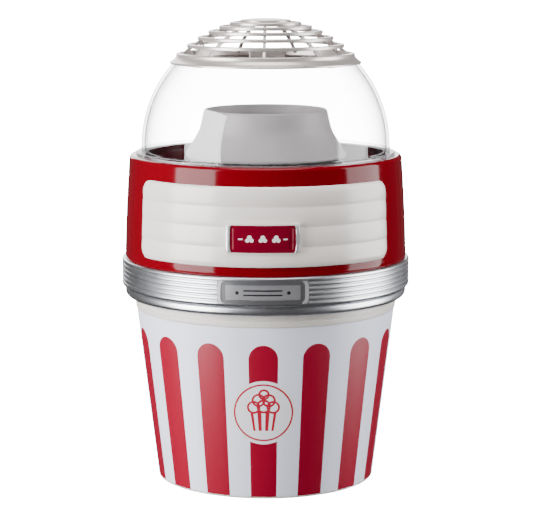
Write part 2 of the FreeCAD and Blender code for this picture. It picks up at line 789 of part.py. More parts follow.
def build_heater():
    low = S.can_low + S.chamber_wall + S.fit
    top = low + S.mica_tall
    half = S.mica_thick / 2
    reach = S.can_radius - S.chamber_wall - 0.5
    plates = []
    for i, angle in enumerate((45, 135)):
        plates.append(box(f"mica_plate_{i}", (-S.mica_radius, S.mica_radius), (-half, half), (low, top), angle))
        plates.append(box(f"mica_foot_{i}", (-reach, reach), (-half, half), (low, low + 2), angle))
    plates.append(rod("mica_table", as_size(11), top - S.mica_thick, top))
    keep(fuse("mica_solid", plates), "heater_frame")

    turns = []
    count = int(S.coil_turns.number)
    for i in range(count):
        height = low + 4 + S.coil_pitch * i
        turn = doc.addObject("Part::Torus", f"coil_turn_{i}")
        turn.Radius1 = S.coil_radius.number
        turn.Radius2 = S.coil_wire.number
        bind(turn, "Radius1", S.coil_radius)
        bind(turn, "Radius2", S.coil_wire)
        turns.append(place(turn, z=height))
        if i < count - 1:
            x, y = compass(S.coil_radius, 8 if i % 2 else -8)
            turns.append(rod(f"coil_step_{i}", S.coil_wire * 0.8, height, height + S.coil_pitch, x, y))
    keep(fuse("coil_solid", turns), "heater_coil")

    seat = top + S.fit
    can = rod("thermostat_can", as_size(8), seat, seat + 3.6, 0, 0)
    cap = rod("thermostat_cap", as_size(6), seat + 3.6, seat + 5.6, 0, 0)
    blade_a = box("thermostat_blade_a", (as_size(7.5), as_size(12)), (as_size(-2), as_size(2)), (seat + 1.2, seat + 2))
    blade_b = box("thermostat_blade_b", (as_size(-12), as_size(-7.5)), (as_size(-2), as_size(2)), (seat + 1.2, seat + 2))
    keep(fuse("thermostat_solid", [can, cap, blade_a, blade_b]), "thermostat")

    fuse_z = seat + 2
    tube = rod_back("fuse_tube", as_size(2), as_size(8.4), as_size(18.4), 0, fuse_z)
    pin = rod_back("fuse_pin", as_size(0.6), as_size(18), as_size(24), 0, fuse_z)
    keep(fuse("fuse_solid", [tube, pin]), "thermal_fuse")


# Motor and fan


def build_motor():
    plate_top = S.motor_shelf - S.fit
    plate_low = plate_top - S.motor_plate_thick
    body = turned("motor_plate_body", [
        (7.5, plate_low),
        (S.pod_bore - S.fit, plate_low),
        (S.pod_bore - S.fit, plate_top),
        (7.5, plate_top),
    ])
    x, y = compass(S.plate_screw_ring, 60)
    hole = round_hole(body, "plate_hole", S.hole_radius, x, y, plate_low - 1, S.motor_plate_thick + 2)
    around(body, hole, "plate_holes", 3)
    x, y = compass(S.cover_screw_ring + 2, 0)
    notch = round_hole(body, "plate_notch", S.boss_radius + 1.5, x, y, plate_low - 1, S.motor_plate_thick + 2)
    around(body, notch, "plate_notches", 3)
    x, y = compass(S.motor_radius - 5.3, 90)
    hole = round_hole(body, "motor_hole", S.hole_radius, x, y, plate_low - 1, S.motor_plate_thick + 2)
    around(body, hole, "motor_holes", 2)
    x, y = compass(S.motor_radius + 9, 30)
    inlet = round_hole(body, "inlet", as_size(6), x, y, plate_low - 1, S.motor_plate_thick + 2)
    around(body, inlet, "inlets", 6)
    keep(body, "motor_plate")
    screws = [
        screw(f"plate_screw_{i}", S.plate_screw_ring, angle, plate_low - S.head_tall - 0.1, as_size(9))
        for i, angle in enumerate((60, 180, 300))
    ]
    keep(group("plate_screw_group", screws), "motor_plate_screws")

    can_top = plate_low - S.fit
    bearing = S.shaft_radius + S.run_gap
    can = turned("motor_can_body", [
        (S.motor_radius - S.motor_wall, S.motor_low),
        (S.motor_radius, S.motor_low),
        (S.motor_radius, can_top - 1),
        (S.motor_radius - 1, can_top),
        (6.5, can_top),
        (6.5, plate_top),
        (bearing, plate_top),
        (bearing, can_top - S.motor_wall),
        (S.motor_radius - S.motor_wall, can_top - S.motor_wall),
    ])
    x, y = compass(S.motor_radius - 5.3, 90)
    hole = round_hole(can, "can_hole", S.pilot_radius, x, y, can_top - 3, as_size(4))
    around(can, hole, "can_holes", 2)
    keep(can, "motor_can")
    motor_screws = []
    for i, angle in enumerate((90, 270)):
        x, y = compass(S.motor_radius - 5.3, angle)
        head = rod(f"motor_screw_head_{i}", as_size(2.6), plate_top + 0.1, plate_top + 1.7, x, y)
        shank = rod(f"motor_screw_shank_{i}", S.shank_radius, can_top - 1.4, plate_top + 1, x, y)
        motor_screws.append(fuse(f"motor_screw_{i}", [head, shank]))
    keep(group("motor_screw_group", motor_screws), "motor_screws")

    cap_radius = S.motor_radius - S.motor_wall - S.fit
    keep(turned("end_cap_body", [
        (0, S.motor_low - 4),
        (6, S.motor_low - 4),
        (6, S.motor_low - 2),
        (S.motor_radius, S.motor_low - 2),
        (S.motor_radius, S.motor_low - S.fit),
        (cap_radius, S.motor_low - S.fit),
        (cap_radius, S.motor_low + 2),
        (bearing, S.motor_low + 2),
        (bearing, S.shaft_low - S.fit),
        (0, S.shaft_low - S.fit),
    ]), "motor_end_cap")

    magnet_out = S.motor_radius - S.motor_wall - S.fit
    magnets = []
    for i, angle in enumerate((0, 180)):
        magnet = turned(f"magnet_{i}", [
            (S.magnet_inner, S.motor_low + 8),
            (magnet_out, S.motor_low + 8),
            (magnet_out, can_top - 5),
            (S.magnet_inner, can_top - 5),
        ], as_size(130))
        magnets.append(place(magnet, turn=about_z(angle)))
    keep(group("magnet_group", magnets), "motor_magnets")

    grip = S.shaft_radius + 0.02
    core = turned("armature_body", [
        (grip, S.motor_low + 9),
        (S.armature_radius, S.motor_low + 9),
        (S.armature_radius, can_top - 6),
        (grip, can_top - 6),
    ])
    x, y = compass(S.armature_radius - 3, 0)
    slot = round_hole(core, "winding_slot", as_size(2.2), x, y, S.motor_low + 8, can_top - S.motor_low)
    around(core, slot, "winding_slots", 5)
    keep(core, "motor_armature")
    keep(turned("commutator_body", [
        (grip, S.motor_low + 3),
        (4.2, S.motor_low + 3),
        (4.2, S.motor_low + 8.4),
        (grip, S.motor_low + 8.4),
    ]), "commutator")
    brushes = []
    for i, side in enumerate((1, -1)):
        near, far = (4.5, 13.5) if side > 0 else (-13.5, -4.5)
        brushes.append(box(f"brush_{i}", (as_size(near), as_size(far)), (as_size(-1.5), as_size(1.5)),
                           (S.motor_low + 2.3, S.motor_low + 6.3)))
    keep(group("brush_group", brushes), "motor_brushes")
    keep(rod("shaft", S.shaft_radius, S.shaft_low, S.shaft_top), "motor_shaft")

    disc_low = S.fan_low + S.fan_tall
    fan = turned("fan_body", [
        (grip, S.fan_low + 1),
        (6, S.fan_low + 1),
        (7, disc_low),
        (S.fan_radius, disc_low),
        (S.fan_radius, disc_low + S.fan_plate),
        (grip, disc_low + S.fan_plate),
    ])
    blade = level(fan, "Pad", "blade", [
        (24, -6),
        (25.4, -6.6),
        (S.fan_radius - 0.4, 3.4),
        (S.fan_radius - 0.9, 4.6),
    ], S.fan_low, S.fan_tall + 0.5)
    around(fan, blade, "blades", S.fan_blades)
    keep(fan, "fan_impeller")

    board_top = S.motor_low - 4 - S.fit
    board = turned("board_body", [(3, board_top - 1.6), (24, board_top - 1.6), (24, board_top), (3, board_top)])
    keep(board, "rectifier_board")
    diodes = []
    for i in range(4):
        x, y = compass(as_size(21.2), 45 + 90 * i)
        diodes.append(rod(f"diode_{i}", as_size(2.4), board_top + 0.2, board_top + 5.4, x, y))
    keep(group("diode_group", diodes), "rectifier_diodes")


# Dome and grille


def build_dome():
    inner = S.dome_radius - S.dome_wall
    flange_top = S.flange_low + S.flange_thick
    rise_out = S.dome_centre + other_side(S.dome_radius, S.dome_hole)
    rise_in = S.dome_centre + other_side(inner, S.dome_hole)
    keep(turned("dome_body", [
        (S.spigot_radius, S.flange_low),
        (S.flange_radius, S.flange_low),
        (S.flange_radius, flange_top - 0.4),
        (S.flange_radius - 0.4, flange_top),
        (S.dome_radius, flange_top),
        (S.dome_radius, S.dome_centre, S.dome_radius),
        (S.dome_hole, rise_out),
        (S.dome_hole, rise_in, -inner),
        (inner, S.dome_centre),
        (inner, flange_top),
        (S.spigot_radius - 2, flange_top),
        (S.spigot_radius - 2, S.flange_low - 4),
        (S.spigot_radius, S.flange_low - 4),
    ]), "dome_cover")


def build_grille():
    def on_sphere(radius, size):
        return S.dome_centre + other_side(size, radius)

    outer = S.grille_radius
    skirt_foot = other_side(S.dome_radius + 0.4, S.grille_foot - S.dome_centre)
    first = as_size(67.7)
    first_top = on_sphere(first, outer) + 0.6
    parts = [turned("grille_skirt", [
        (skirt_foot, S.grille_foot),
        (skirt_foot + 1.2, S.grille_foot),
        (skirt_foot + 0.9, S.grille_foot + 1.6),
        (skirt_foot - 1.2, S.grille_foot + 3),
        (first + 0.2, first_top - 2.6),
        (first, first_top),
        (first - S.grille_bar, first_top + 0.5),
        (first - S.grille_bar, first_top - 5.2),
        (S.dome_hole - S.fit, first_top - 6.2),
        (S.dome_hole - S.fit, on_sphere(S.dome_hole, S.dome_radius) + 0.5),
    ])]
    for i in range(1, 6):
        edge = first - S.grille_pitch * i
        top = on_sphere(edge, outer) + 0.4
        parts.append(turned(f"grille_ring_{i}", [
            (edge, top - 2.7),
            (edge, top - 0.5),
            (edge - 0.5, top),
            (edge - S.grille_bar, top + 0.2),
            (edge - S.grille_bar, top - 2.5),
        ]))
    disc = first - S.grille_pitch * 6
    disc_top = on_sphere(disc, outer)
    parts.append(turned("grille_disc", [
        (0, disc_top - 2.4),
        (disc, disc_top - 2.4),
        (disc, disc_top - 0.4),
        (disc - 1, disc_top + 0.2),
        (0, disc_top + 1),
    ]))
    rib_out = outer - 2.2
    ring_foot = first_top - 5.2
    band = turned("grille_rib_band", [
        (first - S.grille_bar, S.dome_centre + other_side(rib_out - 2.4, first - S.grille_bar)),
        (first - S.grille_bar, S.dome_centre + other_side(rib_out, first - S.grille_bar), rib_out),
        (4, on_sphere(4, rib_out)),
        (4, on_sphere(4, rib_out - 2.4), -(rib_out - 2.4)),
    ])
    spokes = []
    count = int(S.grille_ribs.number)
    for i in range(count):
        spokes.append(box(f"spoke_{i}", (as_size(-1.4), as_size(1.4)), (as_size(3), first),
                          (S.grille_foot, S.grille_foot + 50), 180 + 360 * i / count))
    ribs = common("grille_ribs_cut", [band, fuse("grille_spokes", spokes)])
    clips = []
    for i, angle in enumerate((0, 120, 240)):
        clips.append(box(f"clip_{i}", (as_size(-14), as_size(14)), (S.dome_hole - 5.5, S.dome_hole - 2),
                         (ring_foot - 4, ring_foot + 3), angle + 0.01))
    keep(fuse("grille_solid", parts + [ribs] + clips), "vent_grille")


# Front panel and plates


def build_panel():
    steps = 4
    tall = (S.panel_high - S.panel_low) / steps
    lean = S.panel_lean / steps
    corners = [(S.panel_inner, S.panel_low)]
    for i in range(steps):
        corners.append((S.panel_inner + S.panel_thick - lean * i, S.panel_low + tall * i, S.flute_curve))
    corners.append((S.panel_inner + S.panel_thick - S.panel_lean, S.panel_high))
    corners.append((S.panel_inner - S.panel_lean, S.panel_high))
    corners.append((S.panel_inner - S.panel_lean / 2 + 0.4, (S.panel_low + S.panel_high) / 2))
    plate = turned("panel_turned", corners, S.panel_half_angle * 2)
    place(plate, turn=about_z(-90))
    for i, (side, upper) in enumerate(((-1, 0), (1, 0), (-1, 1), (1, 1))):
        plate = cut(f"panel_cut_{i}", plate, [corner_cutter(i, side, upper)])
    keep(plate, "front_panel")


def corner_cutter(index, side, upper):
    """What is left outside the round of one panel corner, cut towards the axis."""
    radius = S.panel_corner
    edge_angle = S.panel_half_angle.number
    turn = side * (edge_angle - math.degrees(radius.number / 108.0))
    middle = (S.panel_high - radius) if upper else (S.panel_low + radius)
    across = (0, 3 * radius.number) if side > 0 else (-3 * radius.number, 0)
    up = (middle, middle + radius + 2) if upper else (middle - radius - 2, middle)
    block = box(f"corner_block_{index}", (as_size(across[0]), as_size(across[1])),
                (as_size(-125), as_size(-88)), up, turn)
    roller = doc.addObject("Part::Cylinder", f"corner_roller_{index}")
    roller.Radius = radius.number
    bind(roller, "Radius", radius)
    roller.Height = 50
    x, y = compass(as_size(84), turn)
    lay = about_z(turn) * FreeCAD.Rotation(FreeCAD.Vector(1, 0, 0), 90)
    place(roller, x, y, middle, lay)
    return cut(f"corner_cutter_{index}", block, [roller])


def wrapped(name, corners, inner, outer):
    """A plate with an outline seen from the front, bent around the machine."""
    tube = turned(f"{name}_tube", [
        (inner, 140),
        (outer, 140),
        (outer, 250),
        (inner, 250),
    ])
    body = doc.addObject("PartDesign::Body", f"{name}_block")
    sketch = sketch_on(body, "XZ_Plane", f"{name}_outline", corners, 110)
    pad = body.newObject("PartDesign::Pad", f"{name}_pad")
    pad.Profile = sketch
    pad.Length = 60
    pad.Midplane = True
    sketch.Visibility = False
    body.Tip = pad
    return common(name, [tube, body])


def bowed(half, low, high, bow, inset):
    """A wide outline whose long edges bow outwards a little."""
    left, right = -half + inset, half - inset
    curve = Size(((right.number) ** 2 + bow ** 2) / (2 * bow), f"(({right.text}) ^ 2 + {bow} ^ 2) / {2 * bow}")
    return [
        (left, low + bow + inset, curve),
        (right, low + bow + inset),
        (right, high - bow - inset, curve),
        (left, high - bow - inset),
    ]


def build_badge():
    back = S.panel_inner + S.panel_thick + 0.8
    half, low, high = S.badge_half, S.badge_low, S.badge_high
    keep(wrapped("surround_solid", bowed(half, low, high, 1.2, as_size(0)), back, back + 0.9), "badge_surround")
    keep(wrapped("enamel_solid", bowed(half, low, high, 1.2, as_size(1.2)), back + 1.1, back + 1.6), "badge_plate")
    caps = []
    for i, side in enumerate((-1, 1)):
        near, far = half - 4.2, half - 1.4
        left, right = (near, far) if side > 0 else (-far, -near)
        caps.append(wrapped(f"cap_{i}", [
            (left, low + 2.6),
            (right, low + 2.6),
            (right, high - 2.6),
            (left, high - 2.6),
        ], back + 1.8, back + 2.3))
    keep(group("cap_group", caps), "badge_caps")


def build_name_plate():
    face = S.ring_radius + S.fit
    half, low, high = S.name_half, S.name_low, S.name_high
    keep(wrapped("name_solid", [
        (-half, low),
        (half, low),
        (half, high),
        (-half, high),
    ], face, face + 0.9), "name_plate")
    ends = []
    for i, side in enumerate((-1, 1)):
        near, far = half - 4, half - 0.6
        left, right = (near, far) if side > 0 else (-far, -near)
        ends.append(wrapped(f"name_end_{i}", [
            (left, low + 0.8),
            (right, low + 0.8),
            (right, high - 0.8),
            (left, high - 0.8),
        ], face + 1.1, face + 1.7))
    keep(group("name_end_group", ends), "name_plate_ends")


# Switch, gland and leads


def build_controls():
    face = S.pad_face + S.fit
    x, z = S.switch_x, S.control_z
    wide, tall = S.bezel_half_wide, S.bezel_half_tall
    bezel = box("bezel", (x - wide, x + wide), (face, face + S.bezel_thick), (z - tall, z + tall))
    body_w, body_t = S.body_half_wide, S.body_half_tall
    housing = box("switch_body", (x - body_w, x + body_w), (face - S.body_deep, face + 0.5), (z - body_t, z + body_t))
    room_w = S.rocker_half_wide + S.fit
    room_t = S.rocker_half_tall + 2 * S.fit
    room = box("rocker_room", (x - room_w, x + room_w), (face - 6, face + S.bezel_thick + 1), (z - room_t, z + room_t))
    keep(cut("switch_cut", fuse("switch_solid", [bezel, housing]), [room]), "switch_housing")

    rocker = doc.addObject("PartDesign::Body", "rocker_body")
    sketch = sketch_on(rocker, "YZ_Plane", "rocker_side", [
        (-3.2, -1.6),
        (0.6, -S.rocker_half_tall + 0.4),
        (2.6, -S.rocker_half_tall + 0.4, as_size(-22)),
        (2.6, S.rocker_half_tall - 0.4),
        (0.6, S.rocker_half_tall - 0.4),
        (-3.2, 1.6),
    ])
    pad = rocker.newObject("PartDesign::Pad", "rocker_pad")
    pad.Profile = sketch
    pad.Length = 2 * S.rocker_half_wide.number
    bind(pad, "Length", S.rocker_half_wide * 2)
    pad.Midplane = True
    sketch.Visibility = False
    rocker.Tip = pad
    tilt = FreeCAD.Rotation(FreeCAD.Vector(1, 0, 0), S.rocker_tilt.number)
    keep(place(rocker, x, face - 0.4, z, tilt), "switch_rocker")

    back = face - S.body_deep
    blades = []
    for i, drop in enumerate((-5, 5)):
        blades.append(box(f"switch_blade_{i}", (x - 2.4, x + 2.4), (back - 4.4, back - 0.1), (z + drop - 0.4, z + drop + 0.4)))
    keep(group("blade_group", blades), "switch_terminals")

    gx = S.gland_x
    flange = rod_back("gland_flange_rod", S.gland_flange, face, face + 3, gx, z)
    nose = rod_back("gland_nose", S.gland_body + 0.8, face + 2, face + 5, gx, z)
    thread = rod_back("gland_thread", S.gland_body, face - 9, face + 1, gx, z)
    bore = rod_back("gland_bore_rod", S.gland_bore, face - 10, face + 10, gx, z)
    keep(cut("gland_cut", fuse("gland_solid", [flange, nose, thread]), [bore]), "cord_gland")
    nut_far = S.pad_face - S.shell_wall - S.fit
    nut = rod_back("nut_rod", S.gland_body + 2.6, nut_far - 4, nut_far, gx, z)
    nut_bore = rod_back("nut_bore", S.gland_body + 0.1, nut_far - 5, nut_far + 1, gx, z)
    keep(cut("nut_cut", nut, [nut_bore]), "gland_nut")


for build in (
    build_bucket,
    build_ring,
    build_shell,
    build_base,
    build_duct,
    build_pod,
    build_chamber,
    build_heater,
    build_motor,
    build_dome,
    build_grille,
    build_panel,
    build_badge,
    build_name_plate,
    build_controls,
):
    build()
doc.recompute()

broken = [o.Label for o in doc.Objects if "Invalid" in o.State or "Error" in o.State]
for piece in pieces:
    if piece.Shape.isNull() or not piece.Shape.isValid():
        broken.append(piece.Label)
if broken:
    raise RuntimeError("not built: " + ", ".join(broken))

os.makedirs("parts", exist_ok=True)
for piece in pieces:
    piece.Shape.exportStep(f"parts/{piece.Label}.step")
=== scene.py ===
import math

import bmesh
import bpy
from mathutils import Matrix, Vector


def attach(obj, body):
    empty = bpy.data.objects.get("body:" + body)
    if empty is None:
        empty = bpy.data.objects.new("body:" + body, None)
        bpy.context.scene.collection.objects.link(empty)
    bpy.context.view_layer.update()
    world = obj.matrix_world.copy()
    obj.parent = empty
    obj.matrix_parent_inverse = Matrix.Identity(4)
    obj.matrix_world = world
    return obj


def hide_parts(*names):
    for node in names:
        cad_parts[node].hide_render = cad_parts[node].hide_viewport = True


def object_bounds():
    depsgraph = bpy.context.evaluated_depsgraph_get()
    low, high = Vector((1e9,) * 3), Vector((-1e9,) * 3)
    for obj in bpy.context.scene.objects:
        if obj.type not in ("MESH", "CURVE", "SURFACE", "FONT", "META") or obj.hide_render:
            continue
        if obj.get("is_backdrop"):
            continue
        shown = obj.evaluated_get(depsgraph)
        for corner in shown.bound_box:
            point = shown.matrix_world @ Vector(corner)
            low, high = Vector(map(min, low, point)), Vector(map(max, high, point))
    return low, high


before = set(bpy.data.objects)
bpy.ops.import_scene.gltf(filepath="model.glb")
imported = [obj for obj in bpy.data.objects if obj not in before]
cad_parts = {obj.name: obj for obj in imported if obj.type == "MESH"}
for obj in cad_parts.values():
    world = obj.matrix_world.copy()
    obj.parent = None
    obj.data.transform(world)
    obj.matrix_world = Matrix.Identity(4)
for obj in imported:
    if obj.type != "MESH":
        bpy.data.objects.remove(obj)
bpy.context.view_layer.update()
MM = 0.001


# Node materials

class Node:
    """A value in a shader tree that takes part in sums."""

    def __init__(self, tree, socket):
        self.tree = tree
        self.socket = socket

    def math(self, kind, other=None, third=None):
        node = self.tree.nodes.new("ShaderNodeMath")
        node.operation = kind
        for i, value in enumerate((self, other, third)):
            if isinstance(value, Node):
                self.tree.links.new(value.socket, node.inputs[i])
            elif value is not None:
                node.inputs[i].default_value = value
        return Node(self.tree, node.outputs[0])

    def __add__(self, other):
        return self.math("ADD", other)

    def __sub__(self, other):
        return self.math("SUBTRACT", other)

    def __mul__(self, other):
        return self.math("MULTIPLY", other)

    def __truediv__(self, other):
        return self.math("DIVIDE", other)

    def less(self, other):
        return self.math("LESS_THAN", other)

    def more(self, other):
        return self.math("GREATER_THAN", other)

    def hypot(self, other):
        return (self * self + other * other).math("SQRT")

    def either(self, other):
        return self.math("MAXIMUM", other)


def place_of(tree):
    """Position on the object in millimetres: x, y and z."""
    at = tree.nodes.new("ShaderNodeTexCoord")
    apart = tree.nodes.new("ShaderNodeSeparateXYZ")
    tree.links.new(at.outputs["Object"], apart.inputs[0])
    return [Node(tree, apart.outputs[i]) * 1000.0 for i in range(3)]


def blend_colour(tree, factor, first, second):
    node = tree.nodes.new("ShaderNodeMix")
    node.data_type = "RGBA"
    tree.links.new(factor.socket, node.inputs[0])
    for socket, value in ((node.inputs[6], first), (node.inputs[7], second)):
        if isinstance(value, tuple):
            socket.default_value = (*value, 1)
        else:
            tree.links.new(value, socket)
    return node.outputs[2]


def noise(tree, scale, detail=3.0, stretch=None):
    at = tree.nodes.new("ShaderNodeTexCoord")
    out = at.outputs["Object"]
    if stretch:
        mapping = tree.nodes.new("ShaderNodeMapping")
        mapping.inputs["Scale"].default_value = stretch
        tree.links.new(out, mapping.inputs[0])
        out = mapping.outputs[0]
    node = tree.nodes.new("ShaderNodeTexNoise")
    node.inputs["Scale"].default_value = scale
    node.inputs["Detail"].default_value = detail
    tree.links.new(out, node.inputs["Vector"])
    return Node(tree, node.outputs[0])


def finish_of(name, colour, rough, metal=0.0, coat=0.0, grain=400.0, bump=0.02,
              stretch=None, spread=0.06, ior=1.5):
    """A principled material whose colour, roughness and surface vary a little, as a moulded one does."""
    material = bpy.data.materials.new(name)
    material.use_nodes = True
    tree = material.node_tree
    shader = tree.nodes["Principled BSDF"]
    shader.inputs["Metallic"].default_value = metal
    shader.inputs["IOR"].default_value = ior
    shader.inputs["Coat Weight"].default_value = coat
    shader.inputs["Coat Roughness"].default_value = 0.03
    wide = noise(tree, 30.0, 2.0)
    darker = tuple(c * (1 - spread) for c in colour)
    lighter = tuple(min(1.0, c * (1 + spread)) for c in colour)
    tree.links.new(blend_colour(tree, wide, darker, lighter), shader.inputs["Base Color"])
    fine = noise(tree, grain, 4.0, stretch)
    tree.links.new((fine * (rough * 0.3) + rough * 0.85).socket, shader.inputs["Roughness"])
    if bump:
        lift = tree.nodes.new("ShaderNodeBump")
        lift.inputs["Strength"].default_value = bump
        lift.inputs["Distance"].default_value = 0.0002
        tree.links.new(fine.socket, lift.inputs["Height"])
        tree.links.new(lift.outputs[0], shader.inputs["Normal"])
    return material


def sleeve_print():
    """White wrap with fifteen round-topped red stripes and a round popcorn mark at the front."""
    material = finish_of("sleeve_print", (0.78, 0.78, 0.86), 0.38, bump=0.01, ior=1.4)
    tree = material.node_tree
    shader = tree.nodes["Principled BSDF"]
    x, y, z = place_of(tree)
    angle = x.math("ARCTAN2", y * -1.0)
    radius = x.hypot(y)
    pitch = math.radians(24)
    off = ((angle + pitch / 2).math("FLOORED_MODULO", pitch) - pitch / 2) * radius
    half = radius * math.radians(6.45)
    rise = z - 107.9
    head = off.hypot(rise.math("MAXIMUM", 0.0))
    stripe = head.less(half)
    across = angle * radius
    up = z - 67.4
    reach = across.hypot(up)
    disc = reach.less(24.4)
    line = (reach - 21.4).math("ABSOLUTE").less(0.65)
    mark = line
    # a striped carton
    carton_half = up * 0.16 + 9.6
    below = (up + 5.5).math("ABSOLUTE").less(8.5)
    bars = (across / carton_half * 3.2).math("PINGPONG", 1.0).more(0.5)
    carton = across.math("ABSOLUTE").less(carton_half) * below
    mark = mark.either(carton * bars)
    # a heap of round puffs over it, drawn as outlines
    heap = None
    lines = None
    for cx, cy, size in ((-7.2, 4.2, 4.2), (7.2, 4.2, 4.2), (-3.6, 9.6, 4.3),
                         (4.0, 9.4, 4.3), (0.2, 5.0, 4.6), (0.4, 14.0, 3.4)):
        away = (across - cx).hypot(up - cy)
        inside = away.less(size)
        ring = (away - size).math("ABSOLUTE").less(0.8)
        heap = inside if heap is None else heap.either(inside)
        lines = ring if lines is None else lines.either(ring)
    mark = mark * (heap * -1.0 + 1.0)
    mark = mark.either(lines)
    front = y.less(0.0)
    disc = disc * front
    red = blend_colour(tree, stripe, (0.83, 0.84, 0.98), (0.28, 0.001, 0.02))
    paper = blend_colour(tree, disc, red, (0.84, 0.83, 0.88))
    inked = blend_colour(tree, mark * disc, paper, (0.42, 0.01, 0.03))
    tree.links.new(inked, shader.inputs["Base Color"])
    return material


def front_mark(tree):
    """Distance across and up from the middle of the front, in millimetres."""
    x, y, z = place_of(tree)
    return x.math("ARCTAN2", y * -1.0) * 110.0, z


def enamel_badge():
    """Crimson enamel with a plain row of popped kernels between two lines."""
    material = finish_of("enamel_red", (0.16, 0.0, 0.012), 0.14, coat=0.3, bump=0.02)
    tree = material.node_tree
    shader = tree.nodes["Principled BSDF"]
    across, z = front_mark(tree)
    up = z - 198.95
    mark = None
    for middle in (-9.5, 0.0, 9.5):
        for dx, dz, size in ((-1.5, -0.9, 1.5), (1.5, -0.9, 1.5), (0.0, 1.2, 1.7)):
            puff = (across - (middle + dx)).hypot(up - dz).less(size)
            mark = puff if mark is None else mark.either(puff)
    dash = (across.math("ABSOLUTE") - 16.0).math("ABSOLUTE").less(1.6) * up.math("ABSOLUTE").less(0.5)
    mark = mark.either(dash)
    edge = (across.math("ABSOLUTE") - 21.4).math("ABSOLUTE").less(0.25) * up.math("ABSOLUTE").less(7.6)
    lined = blend_colour(tree, edge, (0.16, 0.0, 0.012), (0.42, 0.12, 0.14))
    tree.links.new(blend_colour(tree, mark, lined, (0.8, 0.76, 0.78)), shader.inputs["Base Color"])
    return material


def name_field():
    """Lighter brushed field with a plain dark bar."""
    material = finish_of("name_mid", (0.32, 0.32, 0.34), 0.36, metal=0.5, grain=120.0,
                         stretch=(60, 1, 1), bump=0.1)
    tree = material.node_tree
    shader = tree.nodes["Principled BSDF"]
    across, z = front_mark(tree)
    up = (z - 159.9).math("ABSOLUTE")
    bar = across.math("ABSOLUTE").less(14.0) * (up - 1.6).math("ABSOLUTE").less(0.55)
    dots = ((across.math("ABSOLUTE") - 18.5).hypot(up)).less(1.3)
    wide = noise(tree, 60.0)
    base = blend_colour(tree, wide, (0.28, 0.28, 0.3), (0.36, 0.36, 0.38))
    tree.links.new(blend_colour(tree, bar.either(dots), base, (0.02, 0.02, 0.022)),
                   shader.inputs["Base Color"])
    return material


def clear_dome():
    """Thin clear plastic: it lets light straight through and mirrors at its edges; towards its edges its
    see-through colour is darkened as painted shade.
    """
    material = bpy.data.materials.new("dome_clear")
    material.use_nodes = True
    tree = material.node_tree
    tree.nodes.clear()
    out = tree.nodes.new("ShaderNodeOutputMaterial")
    clear = tree.nodes.new("ShaderNodeBsdfTransparent")
    streak = noise(tree, 25.0, 2.0)
    slant = tree.nodes.new("ShaderNodeLayerWeight")
    slant.inputs[0].default_value = 0.5
    facing = Node(tree, slant.outputs["Facing"])
    tint = blend_colour(tree, streak, (0.9, 0.9, 0.905), (0.93, 0.93, 0.935))
    # painted shade: the see-through colour turns dark grey where the dome is seen edge-on
    tint = blend_colour(tree, facing.math("POWER", 5.0), tint, (0.3, 0.3, 0.32))
    tree.links.new(tint, clear.inputs[0])
    gloss = tree.nodes.new("ShaderNodeBsdfGlossy")
    tree.links.new((noise(tree, 300.0) * 0.02 + 0.015).socket, gloss.inputs["Roughness"])
    edge = facing.math("POWER", 4.0) * 0.5 + 0.05
    mix = tree.nodes.new("ShaderNodeMixShader")
    tree.links.new(edge.socket, mix.inputs[0])
    tree.links.new(clear.outputs[0], mix.inputs[1])
    tree.links.new(gloss.outputs[0], mix.inputs[2])
    tree.links.new(mix.outputs[0], out.inputs[0])
    return material


M = {
    "red": finish_of("shell_red", (0.15, 0.0, 0.005), 0.1, bump=0.01, ior=1.27),
    "cream": finish_of("panel_cream", (0.8, 0.745, 0.7), 0.24, coat=0.2, bump=0.02, spread=0.02),
    "bucket": finish_of("bucket_cream", (0.74, 0.7, 0.65), 0.35, bump=0.02, spread=0.02),
    "sleeve": sleeve_print(),
    "silver": finish_of("ring_silver", (0.66, 0.67, 0.7), 0.33, metal=1.0, grain=250.0, stretch=(1, 1, 12)),
    "chrome": finish_of("bright_chrome", (0.85, 0.85, 0.87), 0.2, metal=0.65, bump=0.01),
    "dark": finish_of("name_dark", (0.14, 0.14, 0.15), 0.4, metal=0.6, grain=120.0,
                      stretch=(60, 1, 1), bump=0.1),
    "steel_mid": name_field(),
    "enamel": enamel_badge(),
    "clear": clear_dome(),
    "grille": finish_of("grille_satin", (0.58, 0.525, 0.5), 0.32, metal=0.6, bump=0.03),
    "collar": finish_of("collar_pale", (0.55, 0.515, 0.525), 0.42, bump=0.03, spread=0.02),
    "alloy": finish_of("chamber_alloy", (0.75, 0.75, 0.76), 0.3, metal=1.0, grain=80, stretch=(1, 1, 30)),
    "maroon": finish_of("duct_red", (0.13, 0.001, 0.008), 0.25, bump=0.02),
    "black": finish_of("moulded_black", (0.022, 0.022, 0.023), 0.45, bump=0.15, grain=1500.0),
    "steel": finish_of("zinc_steel", (0.6, 0.6, 0.61), 0.32, metal=1.0, grain=200.0, bump=0.05),
    "mica": finish_of("mica_sheet", (0.4, 0.34, 0.24), 0.4, bump=0.2, spread=0.3),
    "wire": finish_of("heat_wire", (0.2, 0.18, 0.17), 0.4, metal=1.0),
    "brass": finish_of("tin_brass", (0.7, 0.55, 0.28), 0.3, metal=1.0),
    "copper": finish_of("copper", (0.7, 0.32, 0.2), 0.3, metal=1.0),
    "iron": finish_of("iron", (0.22, 0.21, 0.2), 0.45, metal=1.0, grain=60, stretch=(1, 1, 60), bump=0.3),
    "ferrite": finish_of("ferrite", (0.07, 0.07, 0.075), 0.6, bump=0.3),
    "white": finish_of("fan_white", (0.72, 0.71, 0.68), 0.4, bump=0.05),
    "green": finish_of("board_green", (0.02, 0.14, 0.05), 0.35, bump=0.1, spread=0.2),
}

